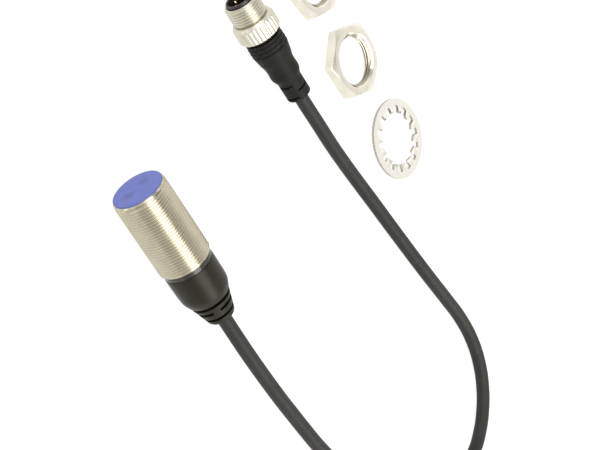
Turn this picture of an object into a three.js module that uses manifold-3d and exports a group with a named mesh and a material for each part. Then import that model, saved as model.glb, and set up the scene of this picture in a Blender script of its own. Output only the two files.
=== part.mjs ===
// Inductive proximity sensor: an M18 x 1 threaded barrel with a short cable and an M12 plug,
// two loose mounting nuts and a loose toothed washer, all lying on one flat surface.
//
// Frame: millimetres. The origin is the centre of the flat sensing face, +X points out of that face
// along the barrel, and +Z is up. The barrel rests on the surface, one barrel radius below the axis.

import * as THREE from 'three';
import { mergeVertices } from 'three/addons/utils/BufferGeometryUtils.js';
import Module from 'manifold-3d';

const wasm = await Module();
wasm.setup();

// ---------------------------------------------------------------- driving dimensions

const THREAD_PITCH = 1.0;
const BARREL_R = 9.0; // M18 x 1, crest of the thread
const BARREL_ROOT_R = 8.45;
const BARREL_BORE_R = 7.9;
const BARREL_FRONT = -0.7;
const BARREL_REAR = -29.0;
const FRONT_LAND = 1.2; // from the front edge to the first crest of the thread
const FLOOR = -BARREL_R;

const FACE_R = 8.4;
const FACE_THICK = 0.4;
const CAP_SKIRT_R = 7.6;
const CAP_SKIRT_END = -7.5;

const BOARD_THICK = 1.0;
const BOARD_FRONT = -9.7;
const BOARD_STEP = -24.7;
const BOARD_REAR = -34.8;
const BOARD_HALF_WIDE = 6.1;
const BOARD_HALF_NARROW = 4.9;

const RING_FRONT = -25.2; // light ring: a skirt inside the barrel and a flange behind it
const RING_REAR = -30.7;
const RING_BORE_R = 6.4;
const SEAL_X = -27.0;
const CAP_FRONT = -31.0;
const CAP_STEP = -40.8; // where the cap's bore narrows around the strain relief
const CAP_REAR = -43.9;
const RELIEF_REAR = -52.5;

const CABLE_R = 2.45;
const CABLE_GAP = 0.3;
const CABLE_STEPS = 44;

const PLUG_R = 7.4; // crest of the knurled ring
const PLUG_X = -2.95; // the plug's own x = 0, just inside the rear of the knurled ring
const PLUG_Y = -80.2;
const PLUG_TURN = THREE.MathUtils.degToRad(2);
const PLUG_THREAD_R = 6.0; // M12 x 1
const PLUG_THREAD_ROOT_R = 5.45;
const PLUG_BORE_R = 5.12;
const KNURL_REAR = -1.1;
const KNURL_FRONT = 5.9;
const PLUG_THREAD_END = 12.9;
const PLUG_FLUTES = 30;
const GRIP_FRONT = -1.5;
const GRIP_REAR = -27.1;
const CARRIER_R = 4.83;
const CARRIER_FRONT = 13.9;
const PIN_R = 0.5;
const PIN_CIRCLE_R = 2.45;
const PIN_COUNT = 4;
const PIN_FIRST = THREE.MathUtils.degToRad(-8);

const NUT_ACROSS_FLATS = 24;
const NUT_THICK = 4;
const NUT_BORE_R = 8.46; // M18 x 1 internal thread, crest
const NUT_BORE_ROOT_R = 9.05;
const NUTS = [
  { name: 'mounting_nut_front', x: -11.0, y: -120.4, turn: 11 },
  { name: 'mounting_nut_rear', x: -44.2, y: -117.9, turn: 4 },
];

const WASHER_R = 14.5;
const WASHER_THICK = 1.0;
const WASHER_ROOT_R = 12.0;
const WASHER_TIP_R = 9.35;
const WASHER_TEETH = 14;
const WASHER_X = -81.1;
const WASHER_Y = -119.3;
const TOOTH_WIDE = 3.0;
const TOOTH_TWIST = THREE.MathUtils.degToRad(20);

const ROUND = 32; // sides of the large turned parts
const MEDIUM_ROUND = 24;
const SMALL_ROUND = 20;
const TINY_ROUND = 12;

// ---------------------------------------------------------------- finishes

const finish = (color, roughness, metalness = 0) =>
  new THREE.MeshStandardMaterial({ color, roughness, metalness });

const NICKEL = finish(0xcfc7ae, 0.3, 1);
const PALE_NICKEL = finish(0xdcd6c6, 0.3, 1);
const FACE_BLUE = finish(0x6f7cc4, 0.45);
const FERRITE = finish(0x2b2a2c, 0.6);
const BOBBIN = finish(0xe8e2d0, 0.5);
const COPPER = finish(0xb8693a, 0.3, 1);
const RESIN = finish(0x1d1f22, 0.35);
const BOARD_GREEN = finish(0x1f5a3a, 0.45);
const CHIP_BLACK = finish(0x1b1b1d, 0.5);
const CERAMIC = finish(0xb59b75, 0.5);
const LENS = finish(0x5a4a2c, 0.15);
const LED_CLEAR = finish(0xe6c25a, 0.2);
const SEAL_BLACK = finish(0x151515, 0.7);
const CAP_BLACK = finish(0x3d3b37, 0.4);
const GRIP_BLACK = finish(0x2f2e2b, 0.65);
const CABLE_BLACK = finish(0x42403b, 0.6);
const WIRE_BROWN = finish(0x6a3d1e, 0.45);
const WIRE_BLUE = finish(0x2a55a8, 0.45);
const WIRE_BLACK = finish(0x1a1a1a, 0.45);
const GOLD = finish(0xd8b25a, 0.25, 1);

// ---------------------------------------------------------------- geometry helpers

const V2 = (r, x) => new THREE.Vector2(r, x);

// Joins shared vertices, drops collapsed triangles and turns the faces outwards.
function closedGeometry(source) {
  const bare = source.clone();
  bare.deleteAttribute('normal');
  bare.deleteAttribute('uv');
  const merged = mergeVertices(bare, 1e-4);
  const index = merged.index.array;
  const corner = [0, 1, 2].map(() => new THREE.Vector3());
  const kept = [];
  let volume = 0;
  for (let t = 0; t < index.length; t += 3) {
    const [a, b, c] = [index[t], index[t + 1], index[t + 2]];
    if (a === b || b === c || c === a) continue;
    [a, b, c].forEach((v, k) => corner[k].fromBufferAttribute(merged.attributes.position, v));
    volume += corner[0].dot(corner[1].cross(corner[2]));
    kept.push([a, b, c]);
  }
  const faces = volume < 0 ? kept.map(([a, b, c]) => [a, c, b]) : kept;
  merged.setIndex(faces.flat());
  merged.computeVertexNormals();
  return merged;
}

function toSolid(geometry) {
  const closed = closedGeometry(geometry);
  const mesh = new wasm.Mesh({
    numProp: 3,
    vertProperties: new Float32Array(closed.attributes.position.array),
    triVerts: new Uint32Array(closed.index.array),
  });
  return new wasm.Manifold(mesh);
}

function fromSolid(solid) {
  const mesh = solid.getMesh();
  const geometry = new THREE.BufferGeometry();
  geometry.setAttribute('position', new THREE.BufferAttribute(mesh.vertProperties, 3));
  geometry.setIndex(new THREE.BufferAttribute(mesh.triVerts, 1));
  geometry.computeVertexNormals();
  return geometry;
}

const join = (...geometries) =>
  fromSolid(geometries.map(toSolid).reduce((all, next) => all.add(next)));
const cut = (body, ...tools) =>
  fromSolid(tools.map(toSolid).reduce((left, tool) => left.subtract(tool), toSolid(body)));
const common = (a, b) => fromSolid(toSolid(a).intersect(toSolid(b)));

// Turns an outline of (radius, x) points about the X axis.
function turned(outline, sides = ROUND) {
  return closedGeometry(new THREE.LatheGeometry(outline, sides).rotateZ(-Math.PI / 2));
}

// Turns an outline of (radius, z) points about the Z axis.
function turnedUpright(outline, sides = ROUND) {
  return closedGeometry(new THREE.LatheGeometry(outline, sides).rotateX(Math.PI / 2));
}

// Extrudes a shape drawn in (y, z) from x0 to x1.
function barAlongX(shape, x0, x1) {
  const bar = new THREE.ExtrudeGeometry(shape, { depth: x1 - x0, bevelEnabled: false });
  const yzx = new THREE.Matrix4().makeBasis(
    new THREE.Vector3(0, 1, 0),
    new THREE.Vector3(0, 0, 1),
    new THREE.Vector3(1, 0, 0),
  );
  return bar.applyMatrix4(yzx).translate(x0, 0, 0);
}

// Crest and root points of a thread, from x0 towards x1.
function threadOutline(x0, x1, crest, root) {
  const turns = Math.floor(Math.abs(x1 - x0) / THREAD_PITCH);
  const step = Math.sign(x1 - x0) * THREAD_PITCH;
  const points = [];
  for (let turn = 0; turn < turns; turn += 1) {
    points.push(V2(crest, x0 + step * turn), V2(root, x0 + step * (turn + 0.5)));
  }
  points.push(V2(crest, x0 + step * turns));
  return points;
}

// A slot cut part of the way round a turned body: a block of a ring, centred on the angle "middle".
function arcSlot(x, wide, inner, outer, middle, sweep) {
  const shape = new THREE.Shape();
  const [from, to] = [middle - sweep / 2, middle + sweep / 2];
  shape.absarc(0, 0, outer, from, to, false);
  shape.absarc(0, 0, inner, to, from, true);
  const slot = new THREE.ExtrudeGeometry(shape, { depth: wide, bevelEnabled: false, curveSegments: 6 });
  const yzx = new THREE.Matrix4().makeBasis(
    new THREE.Vector3(0, 1, 0),
    new THREE.Vector3(0, 0, 1),
    new THREE.Vector3(1, 0, 0),
  );
  return slot.applyMatrix4(yzx).translate(x - wide / 2, 0, 0);
}

function ringSeal(x, centreR, sectionR) {
  const outline = [];
  for (let k = 0; k <= 8; k += 1) {
    const angle = (k * Math.PI) / 4;
    outline.push(V2(centreR + sectionR * Math.cos(angle), x + sectionR * Math.sin(angle)));
  }
  return turned(outline, SMALL_ROUND);
}

function tube(points, radius, sides, steps) {
  const section = new THREE.Shape();
  for (let k = 0; k < sides; k += 1) {
    const angle = (2 * Math.PI * k) / sides;
    const [u, v] = [radius * Math.cos(angle), radius * Math.sin(angle)];
    if (k === 0) section.moveTo(u, v);
    else section.lineTo(u, v);
  }
  section.closePath();
  const path = new THREE.CatmullRomCurve3(points.map((p) => new THREE.Vector3(...p)));
  const settings = { extrudePath: path, steps, bevelEnabled: false };
  return closedGeometry(new THREE.ExtrudeGeometry(section, settings));
}

// A moulded block with bevelled edges, its underside at z = 0.
function moulded(long, wide, high, bevel = 0.2) {
  const shape = new THREE.Shape();
  const [u, v] = [long / 2 - bevel, wide / 2 - bevel];
  shape.moveTo(-u, -v).lineTo(u, -v).lineTo(u, v).lineTo(-u, v).closePath();
  return new THREE.ExtrudeGeometry(shape, {
    depth: high - 2 * bevel,
    bevelThickness: bevel,
    bevelSize: bevel,
    bevelSegments: 1,
  }).translate(0, 0, bevel);
}

const box = (long, wide, high, x, y, z) =>
  new THREE.BoxGeometry(long, wide, high).translate(x, y, z);

const sensor = new THREE.Group();

function place(name, geometry, material, holder = sensor) {
  const mesh = new THREE.Mesh(closedGeometry(geometry), material);
  mesh.name = name;
  holder.add(mesh);
  return mesh;
}

// ---------------------------------------------------------------- barrel and sensing end

function barrel() {
  const threadStart = BARREL_FRONT - FRONT_LAND;
  return turned([
    V2(BARREL_BORE_R, BARREL_REAR),
    V2(BARREL_BORE_R, BARREL_FRONT),
    V2(FACE_R + 0.1, BARREL_FRONT),
    V2(BARREL_R - 0.1, BARREL_FRONT - 0.35),
    V2(BARREL_ROOT_R, threadStart + THREAD_PITCH / 2),
    ...threadOutline(threadStart, BARREL_REAR + 0.08, BARREL_R, BARREL_ROOT_R),
    V2(BARREL_R - 0.3, BARREL_REAR),
    V2(BARREL_BORE_R, BARREL_REAR),
  ]);
}

function sensingCap() {
  return turned([
    V2(0, 0),
    V2(FACE_R - 0.2, 0),
    V2(FACE_R, -0.2),
    V2(FACE_R, -FACE_THICK),
    V2(CAP_SKIRT_R, -FACE_THICK),
    V2(CAP_SKIRT_R, CAP_SKIRT_END),
    V2(CAP_SKIRT_R - 0.7, CAP_SKIRT_END),
    V2(CAP_SKIRT_R - 0.7, -1.6),
    V2(0, -1.6),
  ]);
}

// Pot core: a cup open to the front with a centre post.
function ferriteCore() {
  const [front, floor, back] = [-1.95, -5.1, -6.6];
  return turned([
    V2(0, front),
    V2(2.6, front),
    V2(2.6, floor),
    V2(5.6, floor),
    V2(5.6, front),
    V2(6.6, front),
    V2(6.6, back),
    V2(0, back),
  ], SMALL_ROUND);
}

function coilBobbin() {
  const [front, back, flange] = [-2.1, -4.8, 0.4];
  return turned([
    V2(2.9, front),
    V2(5.3, front),
    V2(5.3, front - flange),
    V2(3.3, front - flange),
    V2(3.3, back + flange),
    V2(5.3, back + flange),
    V2(5.3, back),
    V2(2.9, back),
    V2(2.9, front),
  ], SMALL_ROUND);
}

function coilWinding() {
  const [front, back] = [-2.7, -4.2];
  return turned([V2(3.6, front), V2(5.0, front), V2(5.0, back), V2(3.6, back), V2(3.6, front)], SMALL_ROUND);
}

function pottingPlug() {
  const [front, back] = [-7.8, -9.4];
  return turned([V2(0, front), V2(7.5, front), V2(7.5, back), V2(0, back)], SMALL_ROUND);
}

place('housing_barrel', barrel(), NICKEL);
place('sensing_cap', sensingCap(), FACE_BLUE);
place('ferrite_core', ferriteCore(), FERRITE);
place('coil_bobbin', coilBobbin(), BOBBIN);
place('coil_winding', coilWinding(), COPPER);
place('potting_plug', pottingPlug(), RESIN);

// ---------------------------------------------------------------- electronics

const BOARD_TOP = BOARD_THICK / 2;
const SEAT_GAP = 0.12; // components stand this far off the board

function circuitBoard() {
  const shape = new THREE.Shape();
  shape.moveTo(BOARD_FRONT, -BOARD_HALF_WIDE);
  shape.lineTo(BOARD_FRONT, BOARD_HALF_WIDE);
  shape.lineTo(BOARD_STEP, BOARD_HALF_WIDE);
  shape.lineTo(BOARD_STEP, BOARD_HALF_NARROW);
  shape.lineTo(BOARD_REAR, BOARD_HALF_NARROW);
  shape.lineTo(BOARD_REAR, -BOARD_HALF_NARROW);
  shape.lineTo(BOARD_STEP, -BOARD_HALF_NARROW);
  shape.lineTo(BOARD_STEP, -BOARD_HALF_WIDE);
  shape.closePath();
  for (const y of [-2, 0, 2]) {
    const hole = new THREE.Path();
    hole.absarc(BOARD_REAR + 1.1, y, 0.4, 0, 2 * Math.PI, true);
    shape.holes.push(hole);
  }
  return new THREE.ExtrudeGeometry(shape, {
    depth: BOARD_THICK,
    bevelEnabled: false,
    curveSegments: 4,
  }).translate(0, 0, -BOARD_THICK / 2);
}

// A small-outline chip: a moulded body with a row of leads down each side.
function leadedChip(long, wide, high, leadsPerSide) {
  const pieces = [moulded(long, wide, high).translate(0, 0, 0.15)];
  const pitch = long / leadsPerSide;
  for (let lead = 0; lead < leadsPerSide; lead += 1) {
    const x = (lead - (leadsPerSide - 1) / 2) * pitch;
    for (const side of [-1, 1]) {
      const reach = wide / 2 + 0.45;
      pieces.push(box(0.4, 0.9, 0.2, x, side * (wide / 2 + 0.05), high / 2));
      pieces.push(box(0.4, 0.2, high / 2 + 0.1, x, side * reach, high / 4 + 0.05));
    }
  }
  return join(...pieces);
}

function onBoard(name, geometry, material, x, y) {
  place(name, geometry, material).position.set(x, y, BOARD_TOP + SEAT_GAP);
}

place('circuit_board', circuitBoard(), BOARD_GREEN);
onBoard('oscillator_chip', leadedChip(4.9, 3.9, 1.4, 4), CHIP_BLACK, -14.0, 0);
onBoard('output_transistor', leadedChip(3.0, 1.8, 1.1, 2), CHIP_BLACK, -24.4, -3.3);
onBoard('voltage_regulator', leadedChip(3.2, 2.0, 1.3, 2), CHIP_BLACK, -24.4, 3.0);
onBoard('capacitor_large', moulded(3.4, 2.6, 2.0), CERAMIC, -19.6, 3.1);
onBoard('capacitor_small', moulded(2.0, 1.3, 1.1), CERAMIC, -19.6, -0.4);
onBoard('resistor_front', moulded(2.0, 1.2, 0.55, 0.1), CHIP_BLACK, -19.6, -3.1);
onBoard('resistor_rear', moulded(2.0, 1.2, 0.55, 0.1), CHIP_BLACK, -28.0, 2.4);
onBoard('indicator_led', moulded(1.6, 1.6, 1.0, 0.15), LED_CLEAR, -30.0, 0);

// ---------------------------------------------------------------- rear end of the sensor

// Light ring: a flange between the barrel and the cap, on a skirt with a seal groove.
function lightRing() {
  const [skirt, groove, flange] = [7.6, 7.0, 8.4];
  return turned([
    V2(RING_BORE_R, RING_FRONT),
    V2(skirt, RING_FRONT),
    V2(skirt, SEAL_X + 0.6),
    V2(groove, SEAL_X + 0.6),
    V2(groove, SEAL_X - 0.6),
    V2(skirt, SEAL_X - 0.6),
    V2(skirt, BARREL_REAR - 0.3),
    V2(flange, BARREL_REAR - 0.3),
    V2(flange, RING_REAR),
    V2(RING_BORE_R, RING_REAR),
    V2(RING_BORE_R, RING_FRONT),
  ]);
}

// Rear cap: a spigot inside the light ring and a shell that rounds down to the strain relief.
function rearCap() {
  const [bore, neck, spigotFront] = [5.6, 3.7, -27.8];
  return turned([
    V2(bore, spigotFront),
    V2(RING_BORE_R - 0.3, spigotFront),
    V2(RING_BORE_R - 0.3, CAP_FRONT),
    V2(8.4, CAP_FRONT),
    V2(8.42, -35.0),
    V2(8.3, -40.0),
    V2(8.15, -41.2),
    V2(7.75, -42.4),
    V2(7.15, CAP_REAR),
    V2(neck, CAP_REAR),
    V2(neck, CAP_STEP),
    V2(bore, CAP_STEP),
    V2(bore, spigotFront),
  ]);
}

// Strain relief: a tapered stub of ribs, with slots that let it bend.
function strainRelief() {
  const body = turned([
    V2(0, CAP_STEP + 2.1),
    V2(4.6, CAP_STEP + 2.1),
    V2(4.6, CAP_STEP + 0.8),
    V2(3.3, CAP_STEP + 0.8),
    V2(3.3, CAP_REAR - 0.3),
    V2(5.0, CAP_REAR - 0.3),
    V2(5.0, -45.1),
    V2(6.72, -45.1),
    V2(4.75, -51.9),
    V2(4.3, RELIEF_REAR),
    V2(0, RELIEF_REAR),
  ], MEDIUM_ROUND);
  const slots = [
    { x: -47.1, wide: 1.1, sweep: 156, middles: [135, 315] },
    { x: -50.1, wide: 1.0, sweep: 150, middles: [45, 225] },
  ];
  const tools = slots.flatMap(({ x, wide, sweep, middles }) => middles.map((middle) =>
    arcSlot(x, wide, 4.0, 7.0, THREE.MathUtils.degToRad(middle), THREE.MathUtils.degToRad(sweep))));
  return cut(body, ...tools);
}

function coreWire(fromY, toY, toZ) {
  const zTop = BOARD_TOP + 0.9;
  const points = [[-33.0, fromY, zTop], [-34.8, fromY, zTop + 0.2], [-36.8, toY, toZ], [-38.3, toY, toZ]];
  return tube(points, 0.6, 8, 8);
}

place('light_ring', lightRing(), LENS);
place('cap_seal', ringSeal(SEAL_X, 7.42, 0.3), SEAL_BLACK);
place('rear_cap', rearCap(), CAP_BLACK);
place('strain_relief', strainRelief(), CAP_BLACK);
place('wire_brown', coreWire(-2, -1.1, -0.6), WIRE_BROWN);
place('wire_black', coreWire(0, 0, 1.3), WIRE_BLACK);
place('wire_blue', coreWire(2, 1.1, -0.6), WIRE_BLUE);

// ---------------------------------------------------------------- cable

// Centre line from the strain relief, out and down to the surface, round one bend and back to the plug.
const LIE = FLOOR + CABLE_R + 0.05;
const PLUG_AXIS = FLOOR + PLUG_R;
const CABLE_ROUTE = [
  [RELIEF_REAR - CABLE_GAP, 0, 0],
  [-57, 0, 0],
  [-63, -0.1, -0.2],
  [-70, -0.5, -0.7],
  [-78, -1.3, -1.5],
  [-86, -2.3, -2.4],
  [-94, -3.4, -3.3],
  [-102, -4.7, -4.2],
  [-111, -6.2, -5.2],
  [-121, -7.9, -6.1],
  [-131, -10, LIE],
  [-141, -12.6, LIE],
  [-151, -16.3, LIE],
  [-160.5, -21.3, LIE],
  [-169.5, -28, LIE],
  [-178, -36.5, LIE],
  [-185, -46.5, LIE],
  [-189.9, -57.5, LIE],
  [-191.5, -68.5, LIE],
  [-189.3, -77, LIE],
  [-185, -84.5, LIE],
  [-179, -90.8, LIE],
  [-171.3, -95.6, LIE],
  [-162, -98.4, LIE],
  [-151.5, -98.9, LIE],
  [-140, -97.5, LIE],
  [-128.7, -95.8, LIE],
  [-118, -94.3, LIE],
  [-107, -92.9, LIE],
  [-96.5, -91.6, LIE],
  [-86.3, -90.4, LIE],
  [-76, -88.8, -6.2],
  [-65, -86.5, -5.1],
  [-54, -84.1, -3.6],
  [-43.8, -82.4, -2.3],
  [-35.5, -81.4, -1.7],
  [PLUG_X + (GRIP_REAR - CABLE_GAP) * Math.cos(PLUG_TURN),
    PLUG_Y + (GRIP_REAR - CABLE_GAP) * Math.sin(PLUG_TURN),
    PLUG_AXIS],
];
place('cable', tube(CABLE_ROUTE, CABLE_R, 10, CABLE_STEPS), CABLE_BLACK);

// ---------------------------------------------------------------- plug on the cable

const plug = new THREE.Group();
plug.position.set(PLUG_X, PLUG_Y, PLUG_AXIS);
plug.rotation.z = PLUG_TURN;
sensor.add(plug);

function connectorGrip() {
  const body = turned([
    V2(0, GRIP_REAR),
    V2(3.6, GRIP_REAR),
    V2(4.2, GRIP_REAR + 0.5),
    V2(4.25, -19.8),
    V2(4.95, -18.0),
    V2(5.25, -16.8),
    V2(5.15, -15.0),
    V2(5.3, -12.4),
    V2(5.86, -10.5),
    V2(6.37, -7.5),
    V2(6.52, -6.0),
    V2(6.47, -4.5),
    V2(6.2, GRIP_FRONT - 0.5),
    V2(5.3, GRIP_FRONT - 0.5),
    V2(5.3, GRIP_FRONT),
    V2(4.4, GRIP_FRONT),
    V2(4.4, 1.2),
    V2(0, 1.2),
  ], MEDIUM_ROUND);
  const slots = [
    { x: -21.1, turns: [0, 180] },
    { x: -23.5, turns: [90, 270] },
    { x: -25.9, turns: [0, 180] },
  ];
  const tools = slots.flatMap(({ x, turns }) => turns.map((turn) =>
    arcSlot(x, 0.7, 3.5, 5.0, THREE.MathUtils.degToRad(turn), THREE.MathUtils.degToRad(70))));
  return cut(body, ...tools);
}

const pinPlace = (pin) => {
  const angle = PIN_FIRST + (2 * Math.PI * pin) / PIN_COUNT;
  return [PIN_CIRCLE_R * Math.cos(angle), PIN_CIRCLE_R * Math.sin(angle)];
};

// Contact carrier: a cup around the pins, with a coding key inside and a flange that holds the ring.
function contactCarrier() {
  const body = turned([
    V2(0, 1.5),
    V2(5.25, 1.5),
    V2(5.25, 5.2),
    V2(CARRIER_R, 5.2),
    V2(CARRIER_R, CARRIER_FRONT - 0.2),
    V2(CARRIER_R - 0.2, CARRIER_FRONT),
    V2(4.15, CARRIER_FRONT),
    V2(4.15, 5.6),
    V2(0, 5.6),
  ], MEDIUM_ROUND);
  const bores = Array.from({ length: PIN_COUNT }, (_, pin) => {
    const [y, z] = pinPlace(pin);
    return turned([V2(0, 1.0), V2(0.72, 1.0), V2(0.72, 6.2), V2(0, 6.2)], TINY_ROUND).translate(0, y, z);
  });
  const key = box(6.5, 0.9, 0.9, 9.0, 0, 3.95).rotateX(PIN_FIRST + Math.PI / 4);
  return join(cut(body, ...bores), key);
}

function contactPin() {
  return turned([
    V2(0, 1.8),
    V2(PIN_R, 1.8),
    V2(PIN_R, 12.4),
    V2(PIN_R * 0.5, 12.9),
    V2(0, 12.9),
  ], TINY_ROUND);
}

// Coupling screw: a fluted grip ring and an external thread, free to turn about the carrier.
function couplingScrew() {
  const flutes = new THREE.Shape();
  for (let flute = 0; flute < PLUG_FLUTES; flute += 1) {
    const pitch = (2 * Math.PI) / PLUG_FLUTES;
    [[-0.25, PLUG_R], [0.15, PLUG_R], [0.45, PLUG_R - 0.3]].forEach(([share, r], k) => {
      const angle = Math.PI / 2 + (flute + share) * pitch;
      const [u, v] = [r * Math.cos(angle), r * Math.sin(angle)];
      if (flute === 0 && k === 0) flutes.moveTo(u, v);
      else flutes.lineTo(u, v);
    });
  }
  flutes.closePath();
  const ring = common(barAlongX(flutes, KNURL_REAR, KNURL_FRONT), turned([
    V2(0, KNURL_REAR),
    V2(6.9, KNURL_REAR),
    V2(7.45, KNURL_REAR + 0.7),
    V2(7.45, KNURL_FRONT - 1.7),
    V2(7.1, KNURL_FRONT - 0.8),
    V2(6.4, KNURL_FRONT),
    V2(0, KNURL_FRONT),
  ]));
  const thread = turned([
    V2(0, 3.0),
    V2(PLUG_THREAD_ROOT_R, 3.0),
    V2(PLUG_THREAD_ROOT_R, KNURL_FRONT + 0.6),
    ...threadOutline(KNURL_FRONT + 1.0, PLUG_THREAD_END - 0.3, PLUG_THREAD_R, PLUG_THREAD_ROOT_R),
    V2(PLUG_THREAD_ROOT_R, PLUG_THREAD_END),
    V2(0, PLUG_THREAD_END),
  ], MEDIUM_ROUND);
  const bore = turned([
    V2(0, KNURL_REAR - 1),
    V2(5.6, KNURL_REAR - 1),
    V2(5.6, 5.5),
    V2(PLUG_BORE_R, 5.5),
    V2(PLUG_BORE_R, PLUG_THREAD_END + 1),
    V2(0, PLUG_THREAD_END + 1),
  ], MEDIUM_ROUND);
  return cut(join(ring, thread), bore);
}

place('connector_grip', connectorGrip(), GRIP_BLACK, plug);
place('vibration_ring', ringSeal(0.3, 5.0, 0.3), SEAL_BLACK, plug);
place('contact_carrier', contactCarrier(), GRIP_BLACK, plug);
for (let pin = 0; pin < PIN_COUNT; pin += 1) {
  const [y, z] = pinPlace(pin);
  place(`contact_pin_${pin + 1}`, contactPin(), GOLD, plug).position.set(0, y, z);
}
place('coupling_screw', couplingScrew(), PALE_NICKEL, plug);

// ---------------------------------------------------------------- loose mounting hardware

function mountingNut() {
  const cornerR = NUT_ACROSS_FLATS / Math.sqrt(3);
  const hexagon = new THREE.Shape();
  for (let k = 0; k < 6; k += 1) {
    const [u, v] = [cornerR * Math.cos((k * Math.PI) / 3), cornerR * Math.sin((k * Math.PI) / 3)];
    if (k === 0) hexagon.moveTo(u, v);
    else hexagon.lineTo(u, v);
  }
  hexagon.closePath();
  const prism = new THREE.ExtrudeGeometry(hexagon, { depth: NUT_THICK, bevelEnabled: false });
  const [faceR, slope] = [NUT_ACROSS_FLATS / 2 - 0.2, 0.95];
  const chamfers = turnedUpright([
    V2(0, 0),
    V2(cornerR - 0.3, 0),
    V2(cornerR + 0.1, 0.3),
    V2(cornerR + 0.1, NUT_THICK - slope - 0.1),
    V2(faceR, NUT_THICK),
    V2(0, NUT_THICK),
  ], 36);
  const [lead, leadR, edgeR] = [0.8, NUT_BORE_R + 0.15, NUT_BORE_R + 1.3];
  const bore = turnedUpright([
    V2(0, -0.5),
    V2(edgeR, -0.5),
    V2(edgeR, 0),
    V2(leadR, lead),
    ...threadOutline(lead + 0.2, NUT_THICK - lead - 0.15, NUT_BORE_R, NUT_BORE_ROOT_R),
    V2(leadR, NUT_THICK - lead),
    V2(edgeR, NUT_THICK),
    V2(edgeR, NUT_THICK + 0.5),
    V2(0, NUT_THICK + 0.5),
  ]);
  return cut(common(prism, chamfers), bore);
}

// One tooth, pointing along -X from the ring, twisted about its own length.
function washerTooth() {
  const sections = [
    { r: WASHER_ROOT_R + 0.6, wide: TOOTH_WIDE, share: 0 },
    { r: WASHER_ROOT_R - 0.3, wide: TOOTH_WIDE, share: 0.25 },
    { r: (WASHER_ROOT_R + WASHER_TIP_R) / 2, wide: TOOTH_WIDE * 0.95, share: 0.75 },
    { r: WASHER_TIP_R, wide: TOOTH_WIDE * 0.85, share: 1 },
  ];
  const half = WASHER_THICK / 2;
  const vertices = sections.flatMap(({ r, wide, share }) => {
    const [c, s] = [Math.cos(TOOTH_TWIST * share), Math.sin(TOOTH_TWIST * share)];
    const thick = share === 0 ? half * 0.9 : half;
    return [[-wide / 2, -thick], [wide / 2, -thick], [wide / 2, thick], [-wide / 2, thick]]
      .flatMap(([u, v]) => [r, u * c - v * s, u * s + v * c]);
  });
  const faces = [0, 2, 1, 0, 3, 2];
  for (let k = 0; k + 1 < sections.length; k += 1) {
    for (let side = 0; side < 4; side += 1) {
      const [a, b] = [4 * k + side, 4 * k + ((side + 1) % 4)];
      faces.push(a, b, b + 4, a, b + 4, a + 4);
    }
  }
  const last = 4 * (sections.length - 1);
  faces.push(last, last + 1, last + 2, last, last + 2, last + 3);
  const geometry = new THREE.BufferGeometry();
  geometry.setAttribute('position', new THREE.Float32BufferAttribute(vertices, 3));
  geometry.setIndex(faces);
  return geometry;
}

function toothedWasher() {
  const half = WASHER_THICK / 2;
  const ring = turnedUpright([
    V2(WASHER_ROOT_R, -half),
    V2(WASHER_R - 0.15, -half),
    V2(WASHER_R, -half + 0.15),
    V2(WASHER_R, half - 0.15),
    V2(WASHER_R - 0.15, half),
    V2(WASHER_ROOT_R, half),
    V2(WASHER_ROOT_R, -half),
  ], 42);
  const teeth = Array.from({ length: WASHER_TEETH }, (_, tooth) =>
    washerTooth().rotateZ((2 * Math.PI * tooth) / WASHER_TEETH));
  return join(ring, ...teeth);
}

for (const { name, x, y, turn } of NUTS) {
  const nut = place(name, mountingNut(), PALE_NICKEL);
  nut.position.set(x, y, FLOOR);
  nut.rotation.z = THREE.MathUtils.degToRad(turn);
}

// The twisted tooth tips touch the surface and hold the washer's ring just above it.
const tipHalf = (TOOTH_WIDE * 0.85 * Math.sin(TOOTH_TWIST) + WASHER_THICK * Math.cos(TOOTH_TWIST)) / 2;
place('toothed_washer', toothedWasher(), PALE_NICKEL).position.set(WASHER_X, WASHER_Y, FLOOR + tipHalf + 0.1);

export default sensor;
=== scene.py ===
"""Looks of an inductive proximity sensor: threaded barrel, cable, M12 plug, loose nuts and a washer.

Shapes are worked out in millimetres in the CAD frame and become metres when a mesh is made. The origin
is the centre of the sensing face, +X points out of it and +Z is up.
"""

import math

import bmesh
import bpy
import numpy as np
from mathutils import Matrix, Vector


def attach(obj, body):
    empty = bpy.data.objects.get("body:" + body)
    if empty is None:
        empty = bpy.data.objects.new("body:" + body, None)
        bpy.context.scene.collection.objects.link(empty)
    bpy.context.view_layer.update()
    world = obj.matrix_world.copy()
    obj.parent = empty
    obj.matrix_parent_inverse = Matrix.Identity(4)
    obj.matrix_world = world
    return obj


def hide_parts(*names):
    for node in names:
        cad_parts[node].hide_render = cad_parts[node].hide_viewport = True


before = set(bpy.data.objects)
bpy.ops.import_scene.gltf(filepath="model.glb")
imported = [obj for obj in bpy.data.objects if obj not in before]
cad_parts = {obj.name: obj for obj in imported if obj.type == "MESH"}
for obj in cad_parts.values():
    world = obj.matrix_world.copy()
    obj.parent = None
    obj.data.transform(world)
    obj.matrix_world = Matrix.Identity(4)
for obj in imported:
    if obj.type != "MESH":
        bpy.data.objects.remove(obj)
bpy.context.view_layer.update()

MM = 0.001
TAU = 2 * math.pi

# ---------------------------------------------------------------- driving dimensions, millimetres

FLOOR = -9.0
BARREL_R = 9.0
BARREL_ROOT_R = 8.56  # 0.11 shallower than the CAD thread, for its soft look
PITCH = 1.0
CREST_SHARE = 0.06  # half of the flat crest, as a share of the pitch
FLANK_SHARE = 0.38
RELIEF_REAR = -52.5

CABLE_R = 2.45
CABLE_TUCK = 1.3  # the jacket runs this far into the relief and into the plug
LIE = FLOOR + CABLE_R + 0.05

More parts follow.
